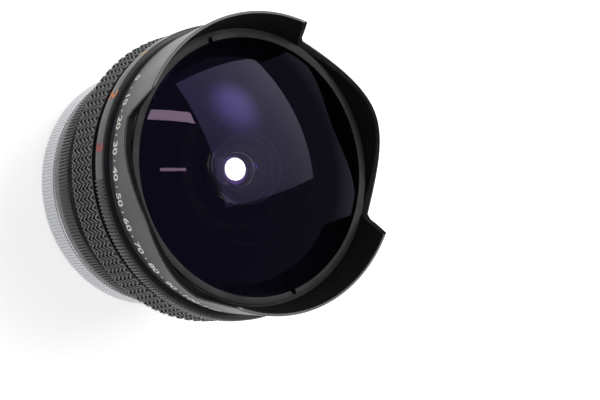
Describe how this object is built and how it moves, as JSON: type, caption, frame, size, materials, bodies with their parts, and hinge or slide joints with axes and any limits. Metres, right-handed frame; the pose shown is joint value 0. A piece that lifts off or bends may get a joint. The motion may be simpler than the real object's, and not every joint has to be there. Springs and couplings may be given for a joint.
{
  "type": "camera lens",
  "caption": "Fisheye camera lens with a domed front glass, built-in petal hood, focus and aperture rings, filter selector and breech lock mount.",
  "frame": {"origin": "on the optical axis, in the plane of the seat that meets the camera body", "axes": "+Z along the optical axis towards the front glass; +Y towards the index at the top; +X to the right seen from the front with +Y up"},
  "size_m": [0.076, 0.076, 0.067],
  "materials": {
    "bright_plate": "satin chromed brass",
    "bright_breech": "satin chromed brass with fine ribs",
    "bright_button": "polished chromed brass",
    "steel_screw": "bright steel",
    "black_screw": "blackened steel",
    "black_guard": "matt black paint",
    "black_anodised": "satin black anodised",
    "black_painted": "satin black enamel",
    "black_rubber": "moulded rubber with toothed bars",
    "brass_part": "turned",
    "brass_gear": "cut teeth",
    "steel_lever": "blackened and worn on the levers",
    "blade_steel": "thin blackened spring steel",
    "red_mark": "red enamel",
    "coated_glass": "polished, violet coating",
    "clear_glass": "polished",
    "yellow_glass": "dyed in the mass",
    "orange_glass": "dyed in the mass",
    "red_glass": "dyed in the mass"
  },
  "bodies": {
    "fixed_barrel": {"mount_plate": "bright_plate", "mount_screws": "steel_screw", "locating_pin": "steel_screw", "rear_guard": "black_guard", "aperture_pin": "steel_screw", "outer_barrel": "black_anodised", "guide_keys": "brass_part", "index_ring": "black_anodised", "index_screws": "black_screw", "lever_retainer": "brass_part"},
    "breech": {"breech_ring": "bright_breech", "breech_mark": "red_mark"},
    "aperture": {"aperture_ring": "black_anodised", "signal_ring": "steel_lever", "aperture_key": "brass_part"},
    "button": {"lock_button": "bright_button"},
    "lever": {"auto_lever": "steel_lever"},
    "focus": {"focus_ring": "black_anodised", "focus_grip": "black_rubber"},
    "optical_unit": {"front_barrel": "black_anodised", "cam_rollers": "brass_part", "front_glass": "coated_glass", "retaining_ring": "black_anodised", "second_glass": "coated_glass", "third_glass": "coated_glass", "fourth_glass": "coated_glass", "inner_clamp": "black_anodised", "front_cell": "black_anodised", "hood": "black_painted", "hood_screws": "black_screw", "turret_axle": "brass_part", "iris_housing": "black_anodised", "rear_cell": "black_anodised", "fifth_glass": "coated_glass", "middle_spacer": "black_anodised", "sixth_glass": "coated_glass", "rear_spacer": "black_anodised", "last_glass": "coated_glass", "rear_ring": "black_anodised"},
    "selector": {"selector_ring": "black_anodised", "selector_key": "black_screw", "filter_gear": "brass_gear"},
    "turret": {"filter_turret": "black_anodised", "turret_pinion": "brass_gear", "clear_filter": "clear_glass", "yellow_filter": "yellow_glass", "orange_filter": "orange_glass", "red_filter": "red_glass"},
    "iris_ring": {"iris_drive": "blade_steel"},
    "blade_1": {"iris_blade_1": "blade_steel"},
    "blade_2": {"iris_blade_2": "blade_steel"},
    "blade_3": {"iris_blade_3": "blade_steel"},
    "blade_4": {"iris_blade_4": "blade_steel"},
    "blade_5": {"iris_blade_5": "blade_steel"},
    "blade_6": {"iris_blade_6": "blade_steel"}
  },
  "joints": [
    {"name": "breech_turn", "type": "hinge", "parent": "fixed_barrel", "child": "breech", "pos_m": [0, 0, 0.00125], "axis": [0, 0, -1], "range_deg": [0, 56]},
    {"name": "aperture_turn", "type": "hinge", "parent": "fixed_barrel", "child": "aperture", "pos_m": [0, 0, 0.0094], "axis": [0, 0, 1], "range_deg": [0, 54]},
    {"name": "button_press", "type": "slide", "parent": "aperture", "child": "button", "axis": [-0.766, -0.6428, 0], "range_m": [0, 0.0006], "stiffness_N_per_m": 900, "springref_m": -0.0006},
    {"name": "auto_lever_turn", "type": "hinge", "parent": "fixed_barrel", "child": "lever", "pos_m": [0, 0, 0.003], "axis": [0, 0, 1], "range_deg": [0, 24], "stiffness_Nm_per_rad": 0.02, "springref_deg": -11.46},
    {"name": "focus_turn", "type": "hinge", "parent": "fixed_barrel", "child": "focus", "pos_m": [0, 0, 0.0277], "axis": [0, 0, 1], "range_deg": [0, 90]},
    {"name": "focus_slide", "type": "slide", "parent": "fixed_barrel", "child": "optical_unit", "axis": [0, 0, 1], "range_m": [0, 0.0012]},
    {"name": "selector_turn", "type": "hinge", "parent": "optical_unit", "child": "selector", "pos_m": [0, 0, 0.04005], "axis": [0, 0, -1], "range_deg": [0, 66.46]},
    {"name": "turret_turn", "type": "hinge", "parent": "optical_unit", "child": "turret", "pos_m": [-0.01151, -0.00419, 0.03515], "axis": [0, 0, -1], "range_deg": [0, 270]},
    {"name": "iris_ring_turn", "type": "hinge", "parent": "optical_unit", "child": "iris_ring", "pos_m": [0, 0, 0.0283], "axis": [0, 0, 1], "range_deg": [0, 24]},
    {"name": "blade_1_turn", "type": "hinge", "parent": "optical_unit", "child": "blade_1", "pos_m": [0.01372, 0.00499, 0.0295], "axis": [0, 0, 1], "range_deg": [0, 22.11]},
    {"name": "blade_2_turn", "type": "hinge", "parent": "optical_unit", "child": "blade_2", "pos_m": [0.00254, 0.01438, 0.0295], "axis": [0, 0, 1], "range_deg": [0, 22.11]},
    {"name": "blade_3_turn", "type": "hinge", "parent": "optical_unit", "child": "blade_3", "pos_m": [-0.01118, 0.00938, 0.0295], "axis": [0, 0, 1], "range_deg": [0, 22.11]},
    {"name": "blade_4_turn", "type": "hinge", "parent": "optical_unit", "child": "blade_4", "pos_m": [-0.01372, -0.00499, 0.0295], "axis": [0, 0, 1], "range_deg": [0, 22.11]},
    {"name": "blade_5_turn", "type": "hinge", "parent": "optical_unit", "child": "blade_5", "pos_m": [-0.00254, -0.01438, 0.0295], "axis": [0, 0, 1], "range_deg": [0, 22.11]},
    {"name": "blade_6_turn", "type": "hinge", "parent": "optical_unit", "child": "blade_6", "pos_m": [0.01118, -0.00938, 0.0295], "axis": [0, 0, 1], "range_deg": [0, 22.11]}
  ],
  "couplings": [
    {"joint": "focus_slide", "follows": "focus_turn", "m_per_rad": 0.0007639},
    {"joint": "turret_turn", "follows": "selector_turn", "ratio": 4.0625},
    {"joint": "iris_ring_turn", "follows": "auto_lever_turn", "ratio": 1},
    {"joint": "blade_1_turn", "follows": "auto_lever_turn", "ratio": 0.92139},
    {"joint": "blade_2_turn", "follows": "auto_lever_turn", "ratio": 0.92139},
    {"joint": "blade_3_turn", "follows": "auto_lever_turn", "ratio": 0.92139},
    {"joint": "blade_4_turn", "follows": "auto_lever_turn", "ratio": 0.92139},
    {"joint": "blade_5_turn", "follows": "auto_lever_turn", "ratio": 0.92139},
    {"joint": "blade_6_turn", "follows": "auto_lever_turn", "ratio": 0.92139}
  ]
}
